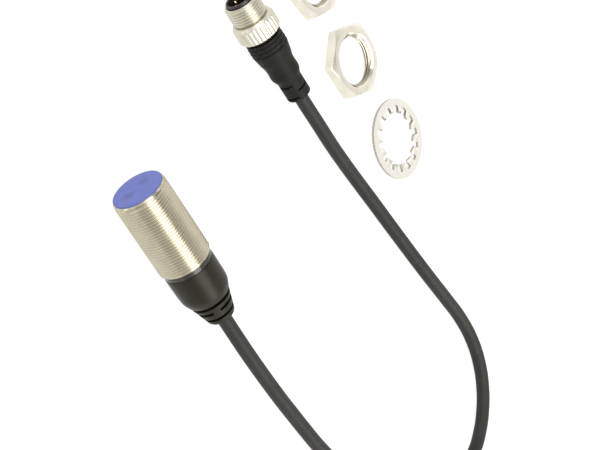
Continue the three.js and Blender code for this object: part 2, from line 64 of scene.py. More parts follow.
PLUG_AT = Vector((-2.95, -80.2, -1.6))
PLUG_TURN = math.radians(2)
GRIP_REAR = -27.1
PIN_CIRCLE_R = 2.45
PIN_FIRST = math.radians(-8)

NUTS = [
    ("mounting_nut_front", "nut_front", -11.0, -120.4, 11),
    ("mounting_nut_rear", "nut_rear", -44.2, -117.9, 4),
]
NUT_FLATS = 24.0
NUT_THICK = 4.0

WASHER_AT = Vector((-81.1, -119.3, -7.99))
WASHER_R = 14.5
WASHER_ROOT_R = 12.0
WASHER_TIP_R = 9.35
WASHER_THICK = 1.0
WASHER_TEETH = 14
TOOTH_WIDE = 3.0
TOOTH_TWIST = math.radians(20)

START = math.radians(0.3)  # keeps close vertices from being mirror twins, which "Pointiness" would merge
ALONG_X = Matrix.Identity(4)
PLUG_PLACE = Matrix.Translation(PLUG_AT * MM) @ Matrix.Rotation(PLUG_TURN, 4, "Z")
UPRIGHT = Matrix.Rotation(-math.pi / 2, 4, "Y")  # turns a piece made along +X to stand along +Z


def upright_at(x, y, z, turn=0.0):
    return Matrix.Translation(Vector((x, y, z)) * MM) @ Matrix.Rotation(turn, 4, "Z") @ UPRIGHT


# ---------------------------------------------------------------- camera

CAMERA_AT = Vector((0.24510, 0.31540, 0.38654))
CAMERA_TO = Vector((-0.06608, -0.05704, -0.009))
CAMERA_ROLL = math.radians(85.9)  # the picture is taken from the side, so up on the table runs to its right
CAMERA_LENS = 112.04


def make_camera():
    ahead = (CAMERA_TO - CAMERA_AT).normalized()
    level = ahead.cross(Vector((0, 0, 1))).normalized()
    upward = level.cross(ahead)
    right = level * math.cos(CAMERA_ROLL) + upward * math.sin(CAMERA_ROLL)
    top = upward * math.cos(CAMERA_ROLL) - level * math.sin(CAMERA_ROLL)
    data = bpy.data.cameras.new("camera")
    data.lens = CAMERA_LENS
    data.sensor_width = 36.0
    data.clip_start = 0.01
    data.clip_end = 20.0
    camera = bpy.data.objects.new("camera", data)
    turn = Matrix((right, top, -ahead)).transposed().to_4x4()
    camera.matrix_world = Matrix.Translation(CAMERA_AT) @ turn
    bpy.context.scene.collection.objects.link(camera)
    bpy.context.scene.camera = camera


make_camera()

# ---------------------------------------------------------------- node materials


class Graph:
    """A material's node tree, with short calls for the nodes that the finishes share."""

    def __init__(self, name):
        self.material = bpy.data.materials.new(name)
        self.material.use_nodes = True
        self.tree = self.material.node_tree
        self.shader = self.tree.nodes["Principled BSDF"]
        self.place = self.node("ShaderNodeTexCoord").outputs["Object"]

    def node(self, kind, **settings):
        made = self.tree.nodes.new(kind)
        for key, value in settings.items():
            setattr(made, key, value)
        return made

    def link(self, source, target):
        self.tree.links.new(source, target)

    def feed(self, socket, value):
        if hasattr(value, "links"):
            self.link(value, socket)
        else:
            socket.default_value = value

    def stretched(self, scale, turn=(0, 0, 0)):
        """The object's own coordinates, in millimetres, scaled by three numbers."""
        mapping = self.node("ShaderNodeMapping")
        mapping.inputs["Scale"].default_value = [s / MM for s in scale]
        mapping.inputs["Rotation"].default_value = turn
        self.link(self.place, mapping.inputs["Vector"])
        return mapping.outputs["Vector"]

    def noise(self, scale, detail=3.0, rough=0.55, vector=None):
        made = self.node("ShaderNodeTexNoise")
        made.inputs["Scale"].default_value = scale
        made.inputs["Detail"].default_value = detail
        made.inputs["Roughness"].default_value = rough
        self.link(vector or self.stretched((1, 1, 1)), made.inputs["Vector"])
        return made.outputs["Fac"]

    def math(self, operation, a, b=0.0, clamp=False):
        made = self.node("ShaderNodeMath", operation=operation, use_clamp=clamp)
        self.feed(made.inputs[0], a)
        self.feed(made.inputs[1], b)
        return made.outputs[0]

    def ramp(self, value, low, high, to_low=0.0, to_high=1.0):
        made = self.node("ShaderNodeMapRange", interpolation_type="SMOOTHSTEP")
        self.feed(made.inputs["Value"], value)
        limits = (("From Min", low), ("From Max", high), ("To Min", to_low), ("To Max", to_high))
        for socket, number in limits:
            self.feed(made.inputs[socket], number)
        return made.outputs["Result"]

    def mix(self, share, a, b):
        made = self.node("ShaderNodeMix", data_type="RGBA")
        self.feed(made.inputs[0], share)
        self.feed(made.inputs[6], (*a, 1.0) if isinstance(a, tuple) else a)
        self.feed(made.inputs[7], (*b, 1.0) if isinstance(b, tuple) else b)
        return made.outputs[2]

    def edges(self, low=0.52, high=0.60):
        """High on sharp outer edges, where handling polishes or chips a finish."""
        return self.ramp(self.node("ShaderNodeNewGeometry").outputs["Pointiness"], low, high)

    def bump(self, height, depth_mm, strength=1.0, under=None):
        made = self.node("ShaderNodeBump")
        made.inputs["Strength"].default_value = strength
        made.inputs["Distance"].default_value = depth_mm * MM
        self.link(height, made.inputs["Height"])
        if under is not None:
            self.link(under, made.inputs["Normal"])
        return made.outputs["Normal"]

    def finish(self, colour, roughness, normal=None, **constants):
        self.feed(self.shader.inputs["Base Color"], colour)
        self.feed(self.shader.inputs["Roughness"], roughness)
        if normal is not None:
            self.link(normal, self.shader.inputs["Normal"])
        for name, value in constants.items():
            self.shader.inputs[name.replace("_", " ")].default_value = value
        return self.material


WARM = {"Specular_Tint": (1.0, 0.95, 0.78, 1.0)}  # black plastics and rubber that reflect a little brown


def radius_from_axis(g):
    """Distance from the piece's own X axis, in millimetres."""
    length = g.node("ShaderNodeVectorMath", operation="LENGTH")
    g.link(g.stretched((0, 1, 1)), length.inputs[0])
    return length.outputs["Value"]


def plated_metal(name, colour, shade, roughness, turned=0.5, bore=0.0, bore_shade=0.75):
    """Nickel plate on a turned part: fine tool lines round the axis, soft stains and polished edges.

    Inside the radius "bore", in millimetres, painted shade darkens the plate, standing in for the shadow in
    a thread or bore.
    """
    g = Graph(name)
    radius = radius_from_axis(g)
    along = g.node("ShaderNodeSeparateXYZ")
    g.link(g.stretched((1, 1, 1)), along.inputs[0])
    travel = g.node("ShaderNodeCombineXYZ")
    g.link(along.outputs["X"], travel.inputs["X"])
    g.link(radius, travel.inputs["Y"])
    lines = g.noise(9.0, 2.0, 0.6, travel.outputs[0])
    stains = g.noise(0.22, 4.0, 0.6)
    grain = g.noise(2.6, 3.0, 0.6)
    tone = g.math("ADD", g.math("MULTIPLY", stains, 0.7), g.math("MULTIPLY", lines, 0.3))
    body = g.mix(g.ramp(tone, 0.32, 0.68), shade, colour)
    polished = g.mix(g.math("MULTIPLY", g.edges(), 0.5), body, (0.93, 0.90, 0.84))
    if bore:
        # painted shade: inside the bore radius the plate is darkened towards a dark brown
        inside = g.ramp(radius, bore - 0.15, bore + 0.15, bore_shade, 0.0)
        polished = g.mix(inside, polished, (0.26, 0.23, 0.16))
    wear_and_rim_shade = g.math("MULTIPLY", g.edges(), -0.06)
    rough = g.math("ADD", g.ramp(grain, 0.3, 0.7, roughness - 0.05, roughness + 0.06), wear_and_rim_shade)
    first = g.bump(lines, 0.012 * turned)
    return g.finish(polished, rough, g.bump(grain, 0.006, 0.6, first), Metallic=1.0)


def stamped_steel():
    """Plated spring steel with bright rolled faces; painted shade darkens every face that tilts away from
    flat, such as the sheared edges and the bent teeth.
    """
    g = Graph("washer_plate")
    grain = g.noise(2.2, 4.0, 0.6)
    rolled = g.noise(6.0, 2.0, 0.6, g.stretched((0.15, 1.6, 1.0)))
    face = g.mix(g.ramp(grain, 0.3, 0.7), (0.79, 0.76, 0.69), (0.87, 0.84, 0.775))
    upright = g.node("ShaderNodeSeparateXYZ")
    turned = g.node("ShaderNodeVectorTransform", vector_type="NORMAL")
    turned.convert_from = "WORLD"
    turned.convert_to = "OBJECT"
    g.link(g.node("ShaderNodeNewGeometry").outputs["Normal"], turned.inputs[0])
    g.link(turned.outputs[0], upright.inputs[0])
    flat = g.math("ABSOLUTE", upright.outputs["Z"])
    # painted shade: faces that tilt away from flat are darkened towards a dull grey
    body = g.mix(g.ramp(flat, 0.55, 0.97), (0.42, 0.40, 0.34), face)
    rough = g.ramp(grain, 0.3, 0.7, 0.16, 0.26)
    return g.finish(body, rough, g.bump(rolled, 0.008), Metallic=1.0)


def moulded_plastic(name, colour, shade, roughness, texture=0.012, edge=(0.11, 0.108, 0.10), **constants):
    """Moulded plastic: spark-eroded grain, faint flow marks and paler edges."""
    g = Graph(name)
    flow = g.noise(0.16, 3.0, 0.5, g.stretched((0.5, 1.5, 1.5)))
    grain = g.noise(7.0, 2.0, 0.6)
    dust = g.ramp(g.noise(3.4, 2.0, 0.7), 0.66, 0.74)
    body = g.mix(g.ramp(flow, 0.3, 0.7), shade, colour)
    dusty = g.mix(g.math("MULTIPLY", dust, 0.22), body, edge)
    wear_and_rim_shade = g.mix(g.math("MULTIPLY", g.edges(), 0.35), dusty, edge)
    skin = g.ramp(flow, 0.3, 0.7, roughness - 0.05, roughness + 0.05)
    rough = g.math("ADD", skin, g.math("MULTIPLY", grain, 0.05))
    return g.finish(wear_and_rim_shade, rough, g.bump(grain, texture), **constants)


def rubber_jacket(name, colour, shade):
    """Extruded cable jacket: faint blotches, a matt skin and a little dust."""
    g = Graph(name)
    blotch = g.noise(0.09, 4.0, 0.55)
    skin = g.noise(4.5, 3.0, 0.65)
    body = g.mix(g.ramp(blotch, 0.3, 0.7), shade, colour)
    dusty = g.mix(g.ramp(g.noise(1.9, 3.0, 0.7), 0.60, 0.78, 0.0, 0.35), body, (0.10, 0.097, 0.09))
    rough = g.ramp(skin, 0.3, 0.7, 0.50, 0.64)
    return g.finish(dusty, rough, g.bump(skin, 0.02), Specular_IOR_Level=0.26)


def sensing_blue():
    """Blue face: slightly uneven pigment, two faint handling marks, pale specks, a fine grain and painted
    shade darkening its rim.
    """
    g = Graph("face_blue")
    pigment = g.noise(0.28, 4.0, 0.6)
    grain = g.noise(5.0, 2.0, 0.6)
    body = g.mix(g.ramp(pigment, 0.3, 0.7), (0.080, 0.108, 0.385), (0.104, 0.134, 0.440))
    for y, z, reach in ((2.9, -1.2, 3.0), (-3.4, 0.6, 2.6)):
        away = g.node("ShaderNodeVectorMath", operation="DISTANCE")
        g.link(g.stretched((0, 1, 1)), away.inputs[0])
        away.inputs[1].default_value = (0, y, z)
        blurred = g.math("ADD", away.outputs["Value"], g.math("MULTIPLY", g.noise(0.5), 2.2))
        mark = g.ramp(blurred, 1.2, reach + 1.2, 0.62, 0.0)
        body = g.mix(mark, body, (0.045, 0.072, 0.220))
    specks = g.ramp(g.noise(2.4, 1.0, 0.4), 0.70, 0.76, 0.0, 0.4)
    body = g.mix(specks, body, (0.30, 0.36, 0.72))
    radius = radius_from_axis(g)
    # painted shade: the rim of the face is darkened towards a deep blue
    painted_rim_shade = g.ramp(radius, 8.0, 8.3, 0.0, 0.5)
    wear_and_rim_shade = g.mix(painted_rim_shade, body, (0.05, 0.06, 0.16))
    rough = g.ramp(pigment, 0.3, 0.7, 0.38, 0.50)
    return g.finish(wear_and_rim_shade, rough, g.bump(grain, 0.010))


def smoked_ring():
    """Smoked translucent ring over the indicator: dark amber with a gloss skin."""
    g = Graph("smoked_ring")
    cloud = g.noise(0.5, 3.0, 0.5)
    body = g.mix(g.ramp(cloud, 0.3, 0.7), (0.010, 0.008, 0.005), (0.022, 0.017, 0.011))
    rough = g.ramp(g.noise(3.0, 2.0), 0.3, 0.7, 0.16, 0.24)
    ripple = g.bump(cloud, 0.01)
    return g.finish(body, rough, ripple, Coat_Weight=0.25, Coat_Roughness=0.1, Specular_IOR_Level=0.4)


def circuit_green():
    """Solder mask over copper tracks: paler lanes and a woven glass grain."""
    g = Graph("board")
    weave = g.node("ShaderNodeTexWave", wave_type="BANDS", bands_direction="X")
    weave.inputs["Scale"].default_value = 2.0
    g.link(g.stretched((1, 1, 1)), weave.inputs["Vector"])
    lanes = g.node("ShaderNodeTexBrick")
    sizes = {"Scale": 0.35, "Mortar Size": 0.05, "Brick Width": 1.3, "Row Height": 0.5}
    for socket, value in sizes.items():
        lanes.inputs[socket].default_value = value
    g.link(g.stretched((1, 1, 1)), lanes.inputs["Vector"])
    body = g.mix(lanes.outputs["Fac"], (0.018, 0.095, 0.045), (0.040, 0.170, 0.080))
    rough = g.ramp(g.noise(3.0), 0.3, 0.7, 0.3, 0.45)
    return g.finish(body, rough, g.bump(weave.outputs["Fac"], 0.01))


def wound_copper():
    """Enamelled wire wound side by side round the axis, with painted shade in the grooves between the turns.
    """
    g = Graph("copper_wire")
    turns = g.node("ShaderNodeTexWave", wave_type="BANDS", bands_direction="X")
    turns.inputs["Scale"].default_value = 1.6
    g.link(g.stretched((1, 1, 1)), turns.inputs["Vector"])
    # painted shade: the low grooves between turns get the dark copper colour
    body = g.mix(turns.outputs["Fac"], (0.25, 0.075, 0.02), (0.72, 0.30, 0.13))
    rough = g.ramp(g.noise(3.0), 0.3, 0.7, 0.2, 0.32)
    return g.finish(body, rough, g.bump(turns.outputs["Fac"], 0.06), Metallic=1.0, Coat_Weight=0.5)


BRIGHT = plated_metal("barrel_nickel", (0.505, 0.463, 0.345), (0.445, 0.406, 0.295), 0.20)
# The plug's thread and hub inside radius 6.3, and the nut bores inside radius 9.1, get painted shade.
PLUG_NICKEL = plated_metal("plug_nickel", (0.70, 0.67, 0.56), (0.60, 0.57, 0.46), 0.36, bore=6.3, bore_shade=0.22)
NUT_NICKEL = plated_metal("nut_nickel", (0.80, 0.765, 0.665), (0.70, 0.66, 0.55), 0.17, bore=9.1)
STEEL = stamped_steel()
GOLD = plated_metal("pin_gold", (0.92, 0.78, 0.46), (0.84, 0.66, 0.34), 0.16)
BLUE = sensing_blue()
CAP = moulded_plastic(
    "cap_plastic",
    (0.0105, 0.0098, 0.0064),
    (0.0070, 0.0065, 0.0042),
    0.36,
    Specular_IOR_Level=0.23,
    **WARM,
)
RELIEF = moulded_plastic(
    "relief_plastic",
    (0.0110, 0.0100, 0.0070),
    (0.0075, 0.0068, 0.0046),
    0.44,
    Specular_IOR_Level=0.21,
    **WARM,
)
GRIP = moulded_plastic(
    "grip_plastic",
    (0.0085, 0.0085, 0.0062),
    (0.0058, 0.0058, 0.0042),
    0.56,
    Specular_IOR_Level=0.16,
)
CARRIER = moulded_plastic("carrier_plastic", (0.016, 0.012, 0.009), (0.010, 0.008, 0.006), 0.38)
RING = smoked_ring()
JACKET = rubber_jacket("cable_jacket", (0.0200, 0.0196, 0.0168), (0.0142, 0.0138, 0.0116))
SEAL = moulded_plastic("seal_rubber", (0.010, 0.010, 0.010), (0.006, 0.006, 0.006), 0.6)

# ---------------------------------------------------------------- mesh helpers


def catmull(points, steps):
    """A smooth line through the points, which are tuples of any length."""
    line = np.array([points[0], *points, points[-1]], float)
    made = []
    for a, b, c, d in zip(line, line[1:], line[2:], line[3:]):
        for k in range(steps):
            t = k / steps
            square = 2 * a - 5 * b + 4 * c - d
            cube = 3 * b - a - 3 * c + d
            made.append(0.5 * (2 * b + (c - a) * t + square * t**2 + cube * t**3))
    return [tuple(p) for p in made] + [tuple(points[-1])]


def rounded(outline, steps=4):
    """An outline of (x, r) points; a third number rounds that corner to about that radius."""
    made = []
    for k, point in enumerate(outline):
        here = Vector(point[:2])
        if len(point) == 2:
            made.append(tuple(here))
            continue
        before = Vector(outline[k - 1][:2]) - here
        after = Vector(outline[(k + 1) % len(outline)][:2]) - here
        half = before.angle(after) / 2
        reach = min(point[2] / math.tan(half), 0.48 * before.length, 0.48 * after.length)
        start = here + before.normalized() * reach
        end = here + after.normalized() * reach
        for step in range(steps + 1):
            t = step / steps
            made.append(tuple(start * (1 - t) ** 2 + here * 2 * t * (1 - t) + end * t**2))
    return made


def turned_sheet(outline, columns):
    """Rings of an outline round the X axis, as (rows, columns + 1) arrays of x and r."""
    line = np.array(outline, float)
    return np.repeat(line[:, :1], columns + 1, 1), np.repeat(line[:, 1:], columns + 1, 1)


def thread_sheet(x_front, x_rear, crest, root, columns, leads=(0.4, 0.5), rows=10):
    """A right-hand helical thread, from its front end to its rear end. Both ends run out to the root."""
    turns = math.ceil((x_front - x_rear) / PITCH) + 1
    u = np.arange(turns * rows + 1)[:, None] / rows
    theta = np.arange(columns + 1)[None, :] / columns
    free = x_front - PITCH * (u - theta)
    x = np.clip(free, x_rear, x_front)
    phase = np.abs((u + 0.5) % 1.0 - 0.5)
    t = np.clip((phase - CREST_SHARE) / FLANK_SHARE, 0, 1)
    depth = 0.5 * t + 0.5 * t * t * (3 - 2 * t)
    near_end = np.minimum((x_front - x) / leads[0], (x - x_rear) / leads[1])
    depth = np.maximum(np.repeat(depth, columns + 1, 1), 1 - near_end)
    return x, crest + (root - crest) * np.clip(depth, 0, 1)


def sheet_points(sheet, start=START):
    """Points and quads of one sheet of rings."""
    x, r = sheet
    rows, columns = x.shape
    angle = start + TAU * np.arange(columns)[None, :] / (columns - 1)
    points = np.stack([x, r * np.cos(angle), r * np.sin(angle)], 2).reshape(-1, 3)
    i, j = np.meshgrid(np.arange(rows - 1), np.arange(columns - 1), indexing="ij")
    a = (i * columns + j).ravel()
    return points, np.stack([a, a + 1, a + columns + 1, a + columns], 1)


def make_piece(name, points, faces, material, place, sharp=32.0):
    """A welded mesh with outward faces, smooth except at sharp edges. Points are in millimetres."""
    mesh = bpy.data.meshes.new(name)
    mesh.from_pydata((np.asarray(points) * MM).tolist(), [], np.asarray(faces).tolist())
    work = bmesh.new()
    work.from_mesh(mesh)
    bmesh.ops.remove_doubles(work, verts=work.verts, dist=2e-7)
    bmesh.ops.dissolve_degenerate(work, edges=work.edges, dist=1e-7)
    bmesh.ops.recalc_face_normals(work, faces=work.faces)
    work.to_mesh(mesh)
    work.free()
    mesh.shade_smooth()
    mesh.set_sharp_from_angle(angle=math.radians(sharp))
    mesh.materials.append(material)
    piece = bpy.data.objects.new(name, mesh)
    bpy.context.scene.collection.objects.link(piece)
    piece.matrix_world = place
    return piece


def turned_piece(name, sheets, material, place=ALONG_X, start=START, sharp=32.0):
    """One closed body of revolution or near it, from sheets whose ends meet."""
    points, faces, count = [], [], 0
    for sheet in sheets:
        some, quads = sheet_points(sheet, start)
        points.append(some)
        faces.append(quads + count)
        count += len(some)
    return make_piece(name, np.concatenate(points), np.concatenate(faces), material, place, sharp)


def ease_edges(piece, width):
    """Rounds the sharp edges by this many millimetres."""
    ease = piece.modifiers.new("eased_edges", "BEVEL")
    ease.width = width * MM
    ease.segments = 2
    ease.limit_method = "ANGLE"
    ease.angle_limit = math.radians(50)


def settle(piece, body, slot, *nodes):
    """Says which body the piece rides on and which CAD nodes it stands for, and hides those nodes. The
    finish "slot" is not used.
    """
    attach(piece, body)
    if nodes:
        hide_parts(*nodes)
    return piece


SLOT_EDGES = (0, 0.01, 0.03, 0.07, 0.12)


def slot_depth(away, rounding=SLOT_EDGES[-1]):
    """Which points lie in a slot, and how far a rib's edge is rounded down just outside it."""
    inside = away <= 0
    near = np.clip(rounding - away, 0, rounding)
    return inside, rounding - np.sqrt(np.clip(rounding**2 - near**2, 0, None))


def slot_rows(low, high, step, slots):
    """Where rings are needed along a slotted stretch: evenly, and closely at the edges of the slots."""
    edges = [x + side * (half + near) for x, half, _, _ in slots for side in (-1, 1) for near in SLOT_EDGES]
    return np.unique(np.concatenate([np.arange(low, high, step), edges]))


def cut_slots(x, r, slots, start=START):
    """Cuts slots (x, half width, floor radius, [(middle, sweep) in degrees]) into a sheet of rings."""
    columns = r.shape[1] - 1
    angle = np.degrees(start + TAU * np.arange(columns + 1)[None, :] / columns)
    body = r.copy()
    for centre, half, floor, arcs in slots:
        for middle, sweep in arcs:
            turn = np.abs((angle - middle + 180) % 360 - 180)
            along = np.abs(x - centre) - half
            around = np.radians(turn - sweep / 2) * body
            inside, drop = slot_depth(np.maximum(along, around))
            r = np.where(inside, np.minimum(r, floor), r - drop)
    return x, r


# ---------------------------------------------------------------- cable, first because it sets the lie


def make_cable():
    end = PLUG_AT + Matrix.Rotation(PLUG_TURN, 3, "Z") @ Vector((GRIP_REAR + CABLE_TUCK, 0, 0))
    route = [
        (RELIEF_REAR + CABLE_TUCK, 0, 0),
        (-57, 0, 0),
        (-63, -0.1, -0.2),
        (-70, -0.5, -0.7),
        (-78, -1.3, -1.5),
        (-86, -2.3, -2.4),
        (-94, -3.4, -3.3),
        (-102, -4.7, -4.2),
        (-111, -6.2, -5.2),
        (-121, -7.9, -6.1),
        (-131, -10, LIE),
        (-141, -12.6, LIE),
        (-151, -16.3, LIE),
        (-160.5, -21.3, LIE),
        (-169.5, -28, LIE),
        (-178, -36.5, LIE),
        (-185, -46.5, LIE),
        (-189.9, -57.5, LIE),
        (-191.5, -68.5, LIE),
        (-189.3, -77, LIE),
        (-185, -84.5, LIE),
        (-179, -90.8, LIE),
        (-171.3, -95.6, LIE),
        (-162, -98.4, LIE),
        (-151.5, -98.9, LIE),
        (-140, -97.5, LIE),
        (-128.7, -95.8, LIE),
        (-118, -94.3, LIE),
        (-107, -92.9, LIE),
        (-96.5, -91.6, LIE),
        (-86.3, -90.4, LIE),
        (-76, -88.8, -6.2),
        (-65, -86.5, -5.1),
        (-54, -84.1, -3.6),
        (-43.8, -82.4, -2.3),
        (-35.5, -81.4, -1.7),
        tuple(end),
    ]
    data = bpy.data.curves.new("cable_jacket", "CURVE")
    data.dimensions = "3D"
    data.resolution_u = 10
    data.bevel_depth = CABLE_R * MM
    data.bevel_resolution = 8
    data.use_fill_caps = True
    spline = data.splines.new("BEZIER")
    spline.bezier_points.add(len(route) - 1)
    for knot, point in zip(spline.bezier_points, route):
        knot.co = Vector(point) * MM
        knot.handle_left_type = knot.handle_right_type = "AUTO"
    data.materials.append(JACKET)
    cable = bpy.data.objects.new("cable_jacket", data)
    bpy.context.scene.collection.objects.link(cable)
    return settle(cable, "sensor", "cable_jacket", "cable")


cable = make_cable()

# ---------------------------------------------------------------- sensor

BARREL_COLUMNS = 160
THREAD_FRONT = -1.4
BARREL_REAR = -29.0


def make_barrel():
    behind = BARREL_REAR - 0.02
    rear = [(BARREL_REAR, BARREL_ROOT_R), (behind, 8.3), (behind, 7.9), (-0.44, 7.9)]
    front = rounded([(-0.44, 7.9), (-0.44, 8.46, 0.05), (-1.0, 8.88, 0.12), (THREAD_FRONT, BARREL_ROOT_R)])
    thread = thread_sheet(THREAD_FRONT, BARREL_REAR, BARREL_R, BARREL_ROOT_R, BARREL_COLUMNS)
    sheets = [thread, turned_sheet(rear + front[1:], BARREL_COLUMNS)]
    piece = turned_piece("barrel_threaded", sheets, BRIGHT, sharp=50)
    settle(piece, "sensor", "nickel_barrel", "housing_barrel")


def make_face():
    outline = rounded([
        (0, 0),
        (0, 4.0),
        (0, 8.05),
        (0, 8.4, 0.2),
        (-0.42, 8.4),
        (-0.42, 7.6),
        (-7.5, 7.6),
        (-7.5, 6.9),
        (-1.6, 6.9),
        (-1.6, 0),
    ])
    piece = turned_piece("face_moulding", [turned_sheet(outline, 128)], BLUE)
    settle(piece, "sensor", "face_blue", "sensing_cap")


def make_light_ring():
    outline = rounded([
        (-25.2, 6.4),
        (-25.2, 7.6, 0.15),
        (-26.4, 7.6),
        (-26.4, 7.0),
        (-27.6, 7.0),
        (-27.6, 7.6),
        (-29.1, 7.6),
        (-29.1, 8.38, 0.12),
        (-30.8, 8.38, 0.2),
        (-30.8, 6.4),
        (-25.2, 6.4),
    ])
    piece = turned_piece("light_ring_lens", [turned_sheet(outline, 128)], RING)
    settle(piece, "sensor", "lens_plastic", "light_ring")


def make_rear_cap():
    shoulder = catmull([
        (-34.0, 8.42),
        (-37.5, 8.38),
        (-40.0, 8.3),
        (-41.3, 8.12),
        (-42.4, 7.75),
        (-43.7, 7.2),
    ], 6)
    outline = rounded([
        (-27.8, 5.6),
        (-27.8, 6.1),
        (-30.9, 6.1),
        (-30.9, 8.42, 0.22),
        *shoulder,
        (-43.9, 7.05, 0.12),
        (-43.9, 3.7),
        (-40.8, 3.7),
        (-40.8, 5.6),
        (-27.8, 5.6),
    ])
    piece = turned_piece("rear_cap_moulding", [turned_sheet(outline, 180)], CAP)
    settle(piece, "sensor", "cap_plastic", "rear_cap")


def make_strain_relief():
    front, back = -45.25, -51.9
    slots = [
        (-47.1, 0.55, 4.0, [(135, 156), (315, 156)]),
        (-50.1, 0.5, 3.6, [(45, 150), (225, 150)]),
    ]
    cone = [
        (x, 6.68 + (4.75 - 6.68) * (x - front) / (back - front))
        for x in slot_rows(back, front, 0.16, slots)[::-1]
    ]
    outline = rounded([
        (-38.7, 0),
        (-38.7, 4.6, 0.2),
        (-40.0, 4.6),
        (-40.0, 3.3),
        (-44.2, 3.3),
        (-44.2, 5.0),
        (-45.1, 5.0),
        (-45.1, 6.72, 0.22),
        *cone,
        (RELIEF_REAR, 4.3, 0.2),
        (RELIEF_REAR, 2.75, 0.12),
        (RELIEF_REAR + 1.6, 2.45),
        (RELIEF_REAR + 1.6, 0),
    ])
    x, r = turned_sheet(outline, 240)
    on_cone = (x < -46.2) & (x > -51.8) & (r > 4)
    cut = cut_slots(x, r, slots)[1]
    piece = turned_piece("relief_moulding", [(x, np.where(on_cone, cut, r))], RELIEF)
    settle(piece, "sensor", "relief_plastic", "strain_relief")


def ring_sheet(centre_x, centre_r, section_r, columns=96, sides=16):
    line = [
        (centre_x + section_r * math.sin(TAU * k / sides), centre_r + section_r * math.cos(TAU * k / sides))
        for k in range(sides + 1)
    ]
    return turned_sheet(line, columns)


make_barrel()
make_face()
make_light_ring()
make_rear_cap()
make_strain_relief()
seal = turned_piece("cap_seal_ring", [ring_sheet(-27.0, 7.42, 0.3)], SEAL)
settle(seal, "sensor", "seal_rubber", "cap_seal")

# ---------------------------------------------------------------- plug


def make_grip():
    slots = [
        (x, 0.35, 3.5, [(turn, 76), (turn + 180, 76)])
        for x, turn in ((-21.1, 0), (-23.5, 90), (-25.9, 0))
    ]
    tail = [(x, 4.25) for x in slot_rows(-26.55, -19.9, 0.2, slots)]
    waist = catmull([
        (-19.8, 4.27),
        (-18.9, 4.58),
        (-18.0, 4.98),
        (-16.8, 5.24),
        (-15.0, 5.15),
        (-13.5, 5.18),
        (-12.4, 5.32),
        (-10.5, 5.84),
        (-9.0, 6.08),
        (-7.5, 6.38),
        (-6.9, 6.46),
    ], 6)
    ribs = []
    for x in np.arange(-6.85, -2.4, 0.06):
        crest = 6.53 - 0.012 * (x + 6.0) ** 2
        groove = max(math.exp(-(((x - middle) / 0.30) ** 2)) for middle in (-3.1, -4.65, -6.2))
        ribs.append((x, crest - 0.42 * groove))
    outline = rounded([
        (GRIP_REAR + 1.5, 0),
        (GRIP_REAR + 1.5, 2.45),
        (GRIP_REAR, 2.75, 0.12),
        (GRIP_REAR, 4.2, 0.45),
        *tail,
        *waist,
        *ribs,
        (-2.0, 6.25, 0.25),
        (-2.0, 5.3),
        (-1.5, 5.3, 0.1),
        (-1.5, 4.4),
        (1.2, 4.4),
        (1.2, 0),
    ])
    x, r = turned_sheet(outline, 240)
    on_tail = (x > -26.5) & (x < -20.5) & (r > 4)
    cut = cut_slots(x, r, slots)[1]
    piece = turned_piece("grip_overmould", [(x, np.where(on_tail, cut, r))], GRIP, PLUG_PLACE)
    return settle(piece, "sensor", "grip_plastic", "connector_grip")


def pin_place(pin):
    angle = PIN_FIRST + pin * TAU / 4
    return PIN_CIRCLE_R * math.cos(angle), PIN_CIRCLE_R * math.sin(angle)


def make_carrier():
    outline = rounded([
        (1.5, 0),
        (1.5, 5.25, 0.15),
        (5.2, 5.25, 0.15),
        (5.2, 4.83),
        (13.9, 4.83, 0.2),
        (13.9, 4.15, 0.15),
        (5.6, 4.15),
        (5.6, 0),
    ])
    x, r = turned_sheet(outline, 192)
    key_turn = (PIN_FIRST + math.pi / 4 + math.pi / 2) % TAU
    angle = TAU * np.arange(193)[None, :] / 192
    away = np.abs((angle - key_turn + math.pi) % TAU - math.pi) * 4.15
    bore = (x > 5.5) & (x < 13.8) & (r > 3.9) & (r < 4.3)
    r = np.where(bore & (away < 0.5) & (x < 12.4), 3.4, r)
    piece = turned_piece("carrier_moulding", [(x, r)], CARRIER, PLUG_PLACE)
    return settle(piece, "sensor", "carrier_plastic", "contact_carrier")


def make_pins():
    made = []
    outline = rounded([(1.8, 0), (1.8, 0.5), (12.35, 0.5, 0.3), (12.9, 0.24, 0.1), (12.9, 0)])
    collar = rounded([(5.55, 0.5), (5.55, 0.72, 0.04), (5.75, 0.72, 0.05), (5.75, 0.5)])
    for pin in range(4):
        y, z = pin_place(pin)
        place = PLUG_PLACE @ Matrix.Translation(Vector((0, y, z)) * MM)
        sheets = [turned_sheet(outline, 24), turned_sheet(collar + [collar[0]], 24)]
        piece = turned_piece(f"pin_{pin + 1}_gold", sheets, GOLD, place)
        made.append(settle(piece, "sensor", "pin_metal", f"contact_pin_{pin + 1}"))
    return made


